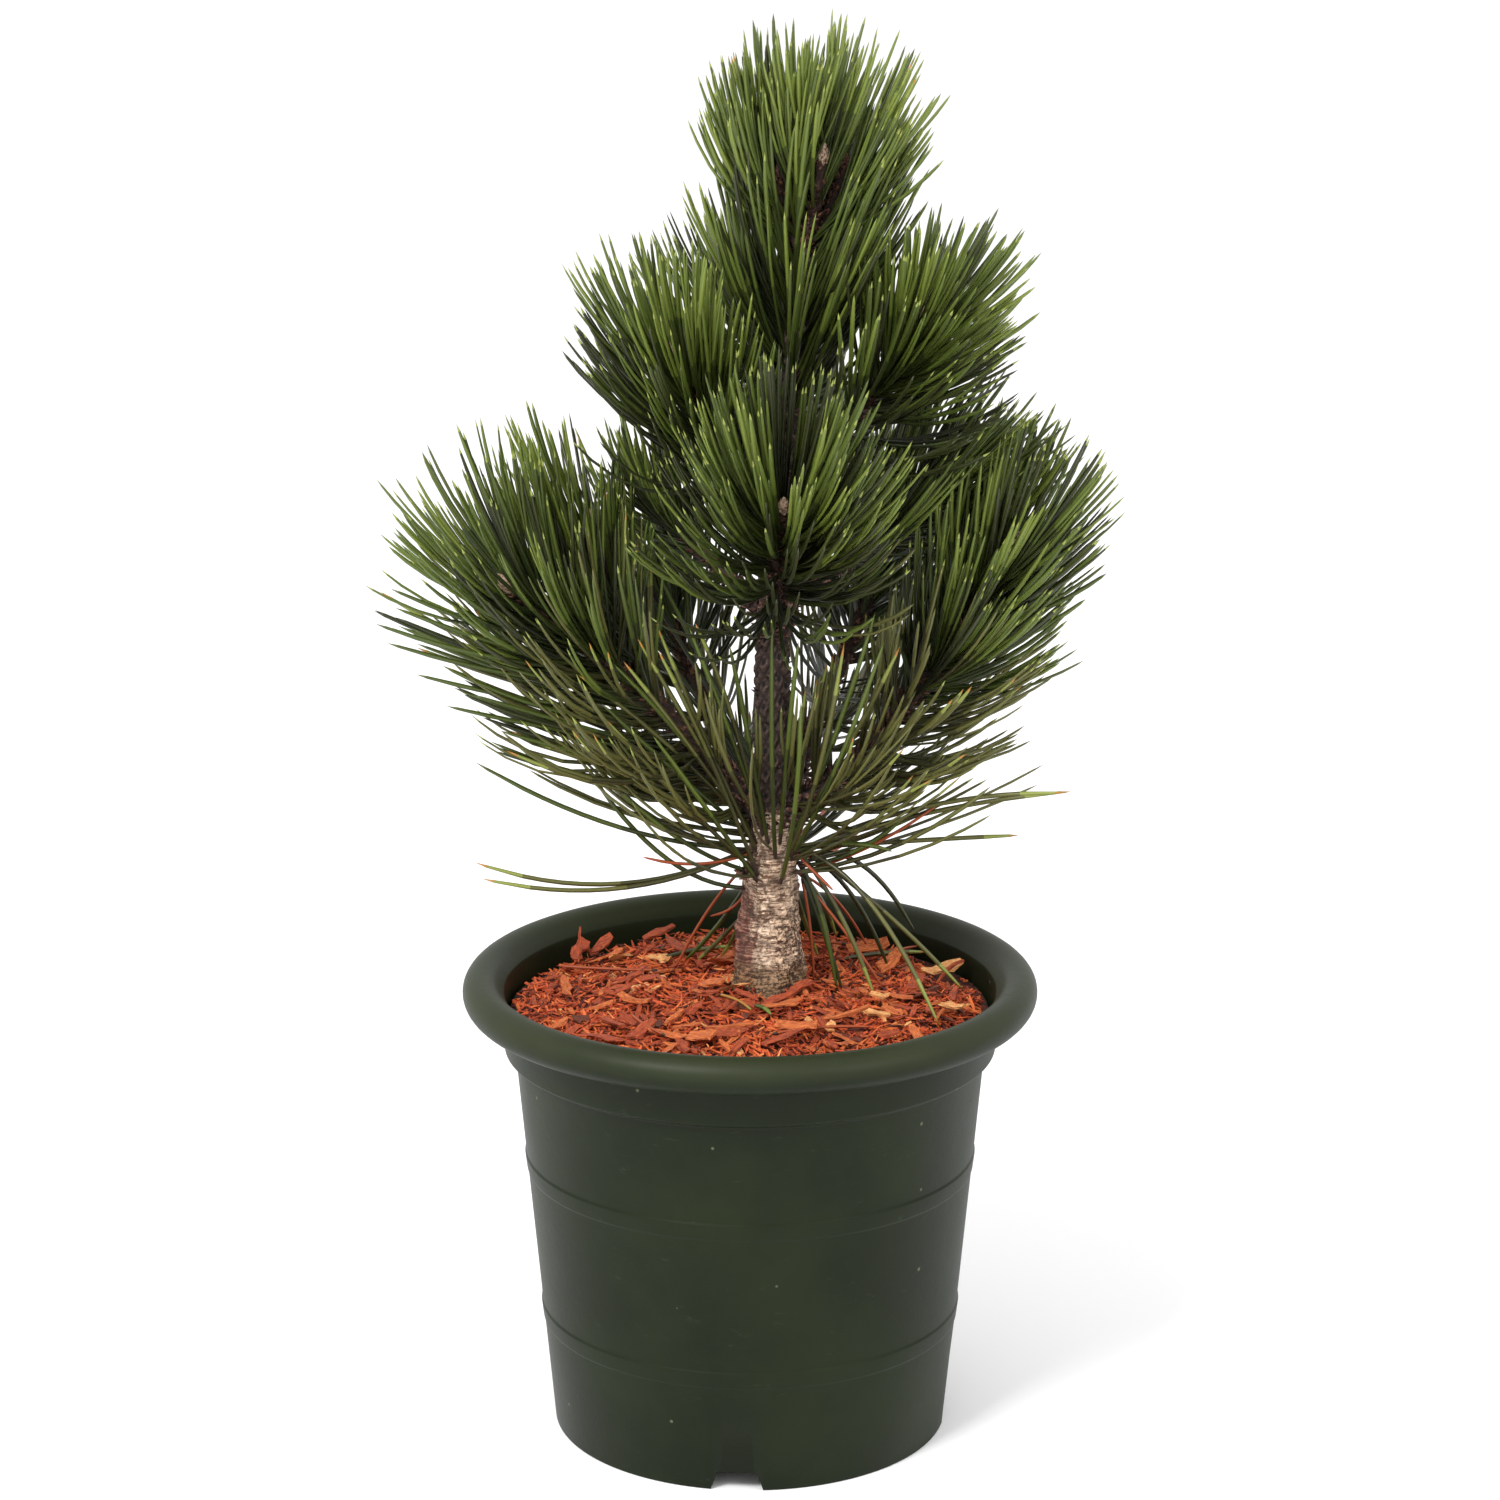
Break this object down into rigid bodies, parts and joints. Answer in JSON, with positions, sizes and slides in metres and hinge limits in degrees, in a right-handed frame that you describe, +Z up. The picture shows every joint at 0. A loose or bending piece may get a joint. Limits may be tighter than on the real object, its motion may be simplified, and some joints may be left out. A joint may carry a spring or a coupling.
{
  "type": "potted dwarf pine",
  "caption": "Dwarf conifer with long paired needles in upright tufts, standing in a round plastic nursery pot topped with bark mulch.",
  "frame": {"origin": "middle of the pot's underside, on the surface that the pot stands on", "axes": "+Z up along the pot's axis, -Y towards the pictured front, +X to the right as seen from the front"},
  "size_m": [0.2947, 0.2555, 0.569],
  "materials": {
    "pot_plastic": "satin dark green moulded plastic",
    "soil": "dark loose potting mix",
    "mulch": "shredded reddish bark and wood chips",
    "old_bark": "pale flaking bark, darker and scaly above",
    "young_bark": "dark scaly young bark",
    "needles": "stiff green needles with paler tips"
  },
  "bodies": {
    "root": {"pot": "pot_plastic", "potting_mix": "soil", "bark_mulch": "mulch", "trunk": "old_bark", "bough_left_low": "young_bark", "bough_right_low": "young_bark", "bough_back_left_low": "young_bark", "bough_back_right_low": "young_bark", "bough_front_mid": "young_bark", "bough_left_mid": "young_bark", "bough_right_mid": "young_bark", "bough_back_mid": "young_bark", "bough_left_high": "young_bark", "bough_right_high": "young_bark", "bough_back_high": "young_bark", "tuft_left_low": "needles", "tuft_right_low": "needles", "tuft_back_left_low": "needles", "tuft_back_right_low": "needles", "tuft_front_mid": "needles", "tuft_left_mid": "needles", "tuft_right_mid": "needles", "tuft_back_mid": "needles", "tuft_left_high": "needles", "tuft_right_high": "needles", "tuft_back_high": "needles", "tuft_leader": "needles", "low_needles": "needles"}
  },
  "joints": []
}
